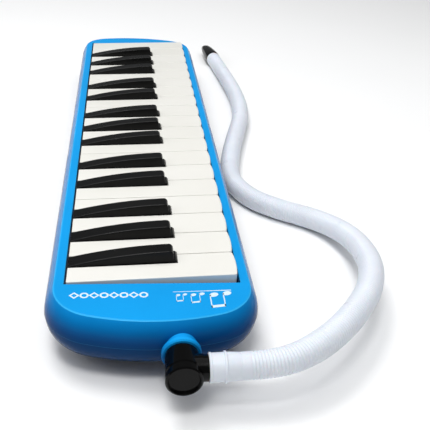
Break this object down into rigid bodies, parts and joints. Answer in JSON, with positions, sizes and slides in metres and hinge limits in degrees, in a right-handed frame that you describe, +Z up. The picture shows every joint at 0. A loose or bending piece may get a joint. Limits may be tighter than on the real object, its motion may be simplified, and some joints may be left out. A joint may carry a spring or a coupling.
{
  "type": "melodica",
  "caption": "Blow-tube keyboard instrument: slim case with sprung piano keys over brass reeds, an elbow plug, and a corrugated hose that ends in a mouthpiece.",
  "frame": {"origin": "under the middle of the case and its mouth socket, on the surface it rests on", "axes": "+X from the bass end to the treble end, -Y towards the player, where the key fronts are, +Z up"},
  "size_m": [0.5092, 0.1737, 0.0409],
  "materials": {
    "case_blue": "glossy moulded plastic, azure blue",
    "key_ivory": "smooth warm white plastic",
    "key_black": "satin black plastic with glossy edges",
    "fitting_black": "glossy black moulded plastic",
    "hose_white": "soft white corrugated plastic, slightly translucent",
    "inner_plastic": "matt grey moulded plastic",
    "reed_brass": "milled brass",
    "seal_rubber": "soft black rubber",
    "felt": "pressed red felt",
    "button_grey": "satin black plastic",
    "steel": "bright zinc-plated steel"
  },
  "bodies": {
    "case": {"air_duct": "inner_plastic", "bed_screws": "steel", "case_screws": "steel", "chest_gasket": "seal_rubber", "front_felt": "felt", "key_bed": "inner_plastic", "key_springs": "steel", "lower_case": "case_blue", "mouth_socket": "case_blue", "pallet_board": "inner_plastic", "pivot_rod": "steel", "plate_screws": "steel", "reed_plate_bass": "reed_brass", "reed_plate_treble": "reed_brass", "reeds_bass": "reed_brass", "reeds_treble": "reed_brass", "upper_case": "case_blue", "water_valve_spring": "steel", "wind_chest": "inner_plastic"},
    "key_a3": {"white_key_a3": "key_ivory"},
    "key_a4": {"white_key_a4": "key_ivory"},
    "key_a5": {"white_key_a5": "key_ivory"},
    "key_b3": {"white_key_b3": "key_ivory"},
    "key_b4": {"white_key_b4": "key_ivory"},
    "key_b5": {"white_key_b5": "key_ivory"},
    "key_c4": {"white_key_c4": "key_ivory"},
    "key_c5": {"white_key_c5": "key_ivory"},
    "key_c6": {"white_key_c6": "key_ivory"},
    "key_d4": {"white_key_d4": "key_ivory"},
    "key_d5": {"white_key_d5": "key_ivory"},
    "key_e4": {"white_key_e4": "key_ivory"},
    "key_e5": {"white_key_e5": "key_ivory"},
    "key_f3": {"white_key_f3": "key_ivory"},
    "key_f4": {"white_key_f4": "key_ivory"},
    "key_f5": {"white_key_f5": "key_ivory"},
    "key_g3": {"white_key_g3": "key_ivory"},
    "key_g4": {"white_key_g4": "key_ivory"},
    "key_g5": {"white_key_g5": "key_ivory"},
    "key_a3_sharp": {"black_key_a3_sharp": "key_black"},
    "key_a4_sharp": {"black_key_a4_sharp": "key_black"},
    "key_a5_sharp": {"black_key_a5_sharp": "key_black"},
    "key_c4_sharp": {"black_key_c4_sharp": "key_black"},
    "key_c5_sharp": {"black_key_c5_sharp": "key_black"},
    "key_d4_sharp": {"black_key_d4_sharp": "key_black"},
    "key_d5_sharp": {"black_key_d5_sharp": "key_black"},
    "key_f3_sharp": {"black_key_f3_sharp": "key_black"},
    "key_f4_sharp": {"black_key_f4_sharp": "key_black"},
    "key_f5_sharp": {"black_key_f5_sharp": "key_black"},
    "key_g3_sharp": {"black_key_g3_sharp": "key_black"},
    "key_g4_sharp": {"black_key_g4_sharp": "key_black"},
    "key_g5_sharp": {"black_key_g5_sharp": "key_black"},
    "water_valve": {"water_valve_button": "button_grey", "water_valve_seal": "seal_rubber"},
    "hose_set": {"elbow": "fitting_black", "hose_cuff": "hose_white", "hose": "hose_white", "mouthpiece": "fitting_black"}
  },
  "joints": [
    {"name": "key_a3_press", "type": "hinge", "parent": "case", "child": "key_a3", "pos_m": [0, 0.022, 0.027], "axis": [1, 0, 0], "range_deg": [0, 3.4], "stiffness_Nm_per_rad": 0.34, "springref_deg": -6.76, "deforming": ["key_springs"]},
    {"name": "key_a4_press", "type": "hinge", "parent": "case", "child": "key_a4", "pos_m": [0, 0.022, 0.027], "axis": [1, 0, 0], "range_deg": [0, 3.4], "stiffness_Nm_per_rad": 0.34, "springref_deg": -6.76, "deforming": ["key_springs"]},
    {"name": "key_a5_press", "type": "hinge", "parent": "case", "child": "key_a5", "pos_m": [0, 0.022, 0.027], "axis": [1, 0, 0], "range_deg": [0, 3.4], "stiffness_Nm_per_rad": 0.34, "springref_deg": -6.76, "deforming": ["key_springs"]},
    {"name": "key_b3_press", "type": "hinge", "parent": "case", "child": "key_b3", "pos_m": [0, 0.022, 0.027], "axis": [1, 0, 0], "range_deg": [0, 3.4], "stiffness_Nm_per_rad": 0.34, "springref_deg": -6.76, "deforming": ["key_springs"]},
    {"name": "key_b4_press", "type": "hinge", "parent": "case", "child": "key_b4", "pos_m": [0, 0.022, 0.027], "axis": [1, 0, 0], "range_deg": [0, 3.4], "stiffness_Nm_per_rad": 0.34, "springref_deg": -6.76, "deforming": ["key_springs"]},
    {"name": "key_b5_press", "type": "hinge", "parent": "case", "child": "key_b5", "pos_m": [0, 0.022, 0.027], "axis": [1, 0, 0], "range_deg": [0, 3.4], "stiffness_Nm_per_rad": 0.34, "springref_deg": -6.76, "deforming": ["key_springs"]},
    {"name": "key_c4_press", "type": "hinge", "parent": "case", "child": "key_c4", "pos_m": [0, 0.022, 0.027], "axis": [1, 0, 0], "range_deg": [0, 3.4], "stiffness_Nm_per_rad": 0.34, "springref_deg": -6.76, "deforming": ["key_springs"]},
    {"name": "key_c5_press", "type": "hinge", "parent": "case", "child": "key_c5", "pos_m": [0, 0.022, 0.027], "axis": [1, 0, 0], "range_deg": [0, 3.4], "stiffness_Nm_per_rad": 0.34, "springref_deg": -6.76, "deforming": ["key_springs"]},
    {"name": "key_c6_press", "type": "hinge", "parent": "case", "child": "key_c6", "pos_m": [0, 0.022, 0.027], "axis": [1, 0, 0], "range_deg": [0, 3.4], "stiffness_Nm_per_rad": 0.34, "springref_deg": -6.76, "deforming": ["key_springs"]},
    {"name": "key_d4_press", "type": "hinge", "parent": "case", "child": "key_d4", "pos_m": [0, 0.022, 0.027], "axis": [1, 0, 0], "range_deg": [0, 3.4], "stiffness_Nm_per_rad": 0.34, "springref_deg": -6.76, "deforming": ["key_springs"]},
    {"name": "key_d5_press", "type": "hinge", "parent": "case", "child": "key_d5", "pos_m": [0, 0.022, 0.027], "axis": [1, 0, 0], "range_deg": [0, 3.4], "stiffness_Nm_per_rad": 0.34, "springref_deg": -6.76, "deforming": ["key_springs"]},
    {"name": "key_e4_press", "type": "hinge", "parent": "case", "child": "key_e4", "pos_m": [0, 0.022, 0.027], "axis": [1, 0, 0], "range_deg": [0, 3.4], "stiffness_Nm_per_rad": 0.34, "springref_deg": -6.76, "deforming": ["key_springs"]},
    {"name": "key_e5_press", "type": "hinge", "parent": "case", "child": "key_e5", "pos_m": [0, 0.022, 0.027], "axis": [1, 0, 0], "range_deg": [0, 3.4], "stiffness_Nm_per_rad": 0.34, "springref_deg": -6.76, "deforming": ["key_springs"]},
    {"name": "key_f3_press", "type": "hinge", "parent": "case", "child": "key_f3", "pos_m": [0, 0.022, 0.027], "axis": [1, 0, 0], "range_deg": [0, 3.4], "stiffness_Nm_per_rad": 0.34, "springref_deg": -6.76, "deforming": ["key_springs"]},
    {"name": "key_f4_press", "type": "hinge", "parent": "case", "child": "key_f4", "pos_m": [0, 0.022, 0.027], "axis": [1, 0, 0], "range_deg": [0, 3.4], "stiffness_Nm_per_rad": 0.34, "springref_deg": -6.76, "deforming": ["key_springs"]},
    {"name": "key_f5_press", "type": "hinge", "parent": "case", "child": "key_f5", "pos_m": [0, 0.022, 0.027], "axis": [1, 0, 0], "range_deg": [0, 3.4], "stiffness_Nm_per_rad": 0.34, "springref_deg": -6.76, "deforming": ["key_springs"]},
    {"name": "key_g3_press", "type": "hinge", "parent": "case", "child": "key_g3", "pos_m": [0, 0.022, 0.027], "axis": [1, 0, 0], "range_deg": [0, 3.4], "stiffness_Nm_per_rad": 0.34, "springref_deg": -6.76, "deforming": ["key_springs"]},
    {"name": "key_g4_press", "type": "hinge", "parent": "case", "child": "key_g4", "pos_m": [0, 0.022, 0.027], "axis": [1, 0, 0], "range_deg": [0, 3.4], "stiffness_Nm_per_rad": 0.34, "springref_deg": -6.76, "deforming": ["key_springs"]},
    {"name": "key_g5_press", "type": "hinge", "parent": "case", "child": "key_g5", "pos_m": [0, 0.022, 0.027], "axis": [1, 0, 0], "range_deg": [0, 3.4], "stiffness_Nm_per_rad": 0.34, "springref_deg": -6.76, "deforming": ["key_springs"]},
    {"name": "key_a3_sharp_press", "type": "hinge", "parent": "case", "child": "key_a3_sharp", "pos_m": [0, 0.022, 0.027], "axis": [1, 0, 0], "range_deg": [0, 3.4], "stiffness_Nm_per_rad": 0.34, "springref_deg": -6.76, "deforming": ["key_springs"]},
    {"name": "key_a4_sharp_press", "type": "hinge", "parent": "case", "child": "key_a4_sharp", "pos_m": [0, 0.022, 0.027], "axis": [1, 0, 0], "range_deg": [0, 3.4], "stiffness_Nm_per_rad": 0.34, "springref_deg": -6.76, "deforming": ["key_springs"]},
    {"name": "key_a5_sharp_press", "type": "hinge", "parent": "case", "child": "key_a5_sharp", "pos_m": [0, 0.022, 0.027], "axis": [1, 0, 0], "range_deg": [0, 3.4], "stiffness_Nm_per_rad": 0.34, "springref_deg": -6.76, "deforming": ["key_springs"]},
    {"name": "key_c4_sharp_press", "type": "hinge", "parent": "case", "child": "key_c4_sharp", "pos_m": [0, 0.022, 0.027], "axis": [1, 0, 0], "range_deg": [0, 3.4], "stiffness_Nm_per_rad": 0.34, "springref_deg": -6.76, "deforming": ["key_springs"]},
    {"name": "key_c5_sharp_press", "type": "hinge", "parent": "case", "child": "key_c5_sharp", "pos_m": [0, 0.022, 0.027], "axis": [1, 0, 0], "range_deg": [0, 3.4], "stiffness_Nm_per_rad": 0.34, "springref_deg": -6.76, "deforming": ["key_springs"]},
    {"name": "key_d4_sharp_press", "type": "hinge", "parent": "case", "child": "key_d4_sharp", "pos_m": [0, 0.022, 0.027], "axis": [1, 0, 0], "range_deg": [0, 3.4], "stiffness_Nm_per_rad": 0.34, "springref_deg": -6.76, "deforming": ["key_springs"]},
    {"name": "key_d5_sharp_press", "type": "hinge", "parent": "case", "child": "key_d5_sharp", "pos_m": [0, 0.022, 0.027], "axis": [1, 0, 0], "range_deg": [0, 3.4], "stiffness_Nm_per_rad": 0.34, "springref_deg": -6.76, "deforming": ["key_springs"]},
    {"name": "key_f3_sharp_press", "type": "hinge", "parent": "case", "child": "key_f3_sharp", "pos_m": [0, 0.022, 0.027], "axis": [1, 0, 0], "range_deg": [0, 3.4], "stiffness_Nm_per_rad": 0.34, "springref_deg": -6.76, "deforming": ["key_springs"]},
    {"name": "key_f4_sharp_press", "type": "hinge", "parent": "case", "child": "key_f4_sharp", "pos_m": [0, 0.022, 0.027], "axis": [1, 0, 0], "range_deg": [0, 3.4], "stiffness_Nm_per_rad": 0.34, "springref_deg": -6.76, "deforming": ["key_springs"]},
    {"name": "key_f5_sharp_press", "type": "hinge", "parent": "case", "child": "key_f5_sharp", "pos_m": [0, 0.022, 0.027], "axis": [1, 0, 0], "range_deg": [0, 3.4], "stiffness_Nm_per_rad": 0.34, "springref_deg": -6.76, "deforming": ["key_springs"]},
    {"name": "key_g3_sharp_press", "type": "hinge", "parent": "case", "child": "key_g3_sharp", "pos_m": [0, 0.022, 0.027], "axis": [1, 0, 0], "range_deg": [0, 3.4], "stiffness_Nm_per_rad": 0.34, "springref_deg": -6.76, "deforming": ["key_springs"]},
    {"name": "key_g4_sharp_press", "type": "hinge", "parent": "case", "child": "key_g4_sharp", "pos_m": [0, 0.022, 0.027], "axis": [1, 0, 0], "range_deg": [0, 3.4], "stiffness_Nm_per_rad": 0.34, "springref_deg": -6.76, "deforming": ["key_springs"]},
    {"name": "key_g5_sharp_press", "type": "hinge", "parent": "case", "child": "key_g5_sharp", "pos_m": [0, 0.022, 0.027], "axis": [1, 0, 0], "range_deg": [0, 3.4], "stiffness_Nm_per_rad": 0.34, "springref_deg": -6.76, "deforming": ["key_springs"]},
    {"name": "water_valve_push", "type": "slide", "parent": "case", "child": "water_valve", "axis": [-1, 0, 0], "range_m": [0, 0.002], "stiffness_N_per_m": 400, "springref_m": -0.004, "deforming": ["water_valve_spring"]},
    {"name": "hose_set_pull", "type": "slide", "parent": "case", "child": "hose_set", "axis": [-1, 0, 0], "range_m": [0, 0.01]}
  ]
}
